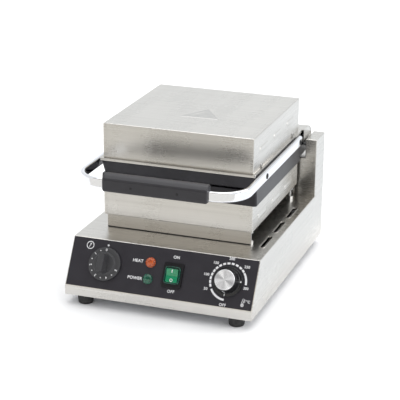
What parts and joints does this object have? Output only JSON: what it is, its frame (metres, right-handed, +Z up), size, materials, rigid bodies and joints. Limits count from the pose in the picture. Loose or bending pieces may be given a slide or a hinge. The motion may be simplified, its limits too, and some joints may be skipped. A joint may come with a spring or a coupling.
{
  "type": "waffle maker",
  "caption": "Counter-top waffle maker with a sloped control panel, a raised lower plate and a hinged lid that lifts by a U-shaped handle.",
  "frame": {"origin": "on the surface it stands on, under the middle of the object's box", "axes": "+Z up, front with the controls and the handle towards -Y, +X to the right as seen from the front"},
  "size_m": [0.29, 0.4, 0.258],
  "materials": {
    "brushed_stainless": "brushed, satin",
    "galvanised_sheet": "plain zinc-coated sheet",
    "zinc_fasteners": "bright zinc plated",
    "ground_steel": "ground, lightly oiled",
    "black_rubber": "matte",
    "panel_overlay": "satin anthracite print",
    "cast_iron": "seasoned, satin anthracite",
    "element_sheath": "heat-darkened",
    "insulation_board": "light ceramic-fibre board, matte",
    "control_housing": "moulded, matte",
    "copper": "drawn copper",
    "black_plastic": "moulded, satin",
    "grip_plastic": "moulded phenolic, satin",
    "switch_green": "translucent, glossy",
    "rocker_green": "translucent, glossy",
    "amber_lens": "translucent, glossy",
    "green_lens": "translucent, glossy",
    "brass_parts": "turned brass",
    "chrome_bar": "polished",
    "spun_aluminium": "spun, bright"
  },
  "bodies": {
    "base": {"base_housing": "brushed_stainless", "bottom_plate": "galvanised_sheet", "bottom_screws": "zinc_fasteners", "rubber_feet": "black_rubber", "foot_screws": "zinc_fasteners", "control_panel": "panel_overlay", "rear_column": "brushed_stainless", "column_back_cover": "brushed_stainless", "column_screws": "zinc_fasteners", "hinge_brackets": "galvanised_sheet", "bracket_bolts": "zinc_fasteners", "hinge_shaft": "ground_steel", "shaft_rings": "zinc_fasteners", "front_riser": "brushed_stainless", "rear_riser": "brushed_stainless", "support_studs": "zinc_fasteners", "support_nuts": "zinc_fasteners", "lower_housing": "brushed_stainless", "lower_plate": "cast_iron", "lower_hinge_arms": "cast_iron", "lower_element": "element_sheath", "lower_clamp_plate": "galvanised_sheet", "lower_clamp_screws": "zinc_fasteners", "lower_insulation": "insulation_board", "wire_sleeve": "zinc_fasteners", "thermostat_body": "control_housing", "thermostat_bulb": "copper", "thermostat_capillary": "copper", "timer_body": "control_housing", "switch_body": "black_plastic", "switch_frame": "switch_green", "lamp_holders": "control_housing", "heat_lamp_lens": "amber_lens", "power_lamp_lens": "green_lens", "terminal_block": "control_housing", "terminal_screws": "brass_parts", "earth_stud": "brass_parts", "cable_gland": "black_plastic", "gland_nut": "black_plastic"},
    "lid": {"lid_cover": "brushed_stainless", "lid_flange": "brushed_stainless", "lid_screws": "zinc_fasteners", "upper_plate": "cast_iron", "upper_hinge_arms": "cast_iron", "upper_element": "element_sheath", "upper_clamp_plate": "galvanised_sheet", "upper_clamp_screws": "zinc_fasteners", "upper_insulation": "insulation_board", "hinge_hood": "brushed_stainless", "hinge_bushes": "brass_parts", "handle_bar": "chrome_bar", "handle_grip": "grip_plastic", "handle_screws": "zinc_fasteners", "grip_screws": "zinc_fasteners"},
    "timer": {"timer_knob": "black_plastic", "timer_spindle": "ground_steel"},
    "thermostat": {"thermostat_knob": "black_plastic", "thermostat_cap": "spun_aluminium", "thermostat_spindle": "ground_steel"},
    "rocker": {"switch_rocker": "rocker_green"}
  },
  "joints": [
    {"name": "lid_hinge", "type": "hinge", "parent": "base", "child": "lid", "pos_m": [0, 0.164, 0.177], "axis": [-1, 0, 0], "range_deg": [0, 100]},
    {"name": "timer_turn", "type": "hinge", "parent": "base", "child": "timer", "pos_m": [-0.088, -0.17071, 0.06224], "axis": [0, 0.8616, -0.5076], "range_deg": [0, 250]},
    {"name": "thermostat_turn", "type": "hinge", "parent": "base", "child": "thermostat", "pos_m": [0.103, -0.17071, 0.06224], "axis": [0, 0.8616, -0.5076], "range_deg": [0, 276]},
    {"name": "rocker_tip", "type": "hinge", "parent": "base", "child": "rocker", "pos_m": [0.019, -0.17198, 0.06009], "axis": [-1, 0, 0], "range_deg": [0, 16]}
  ]
}
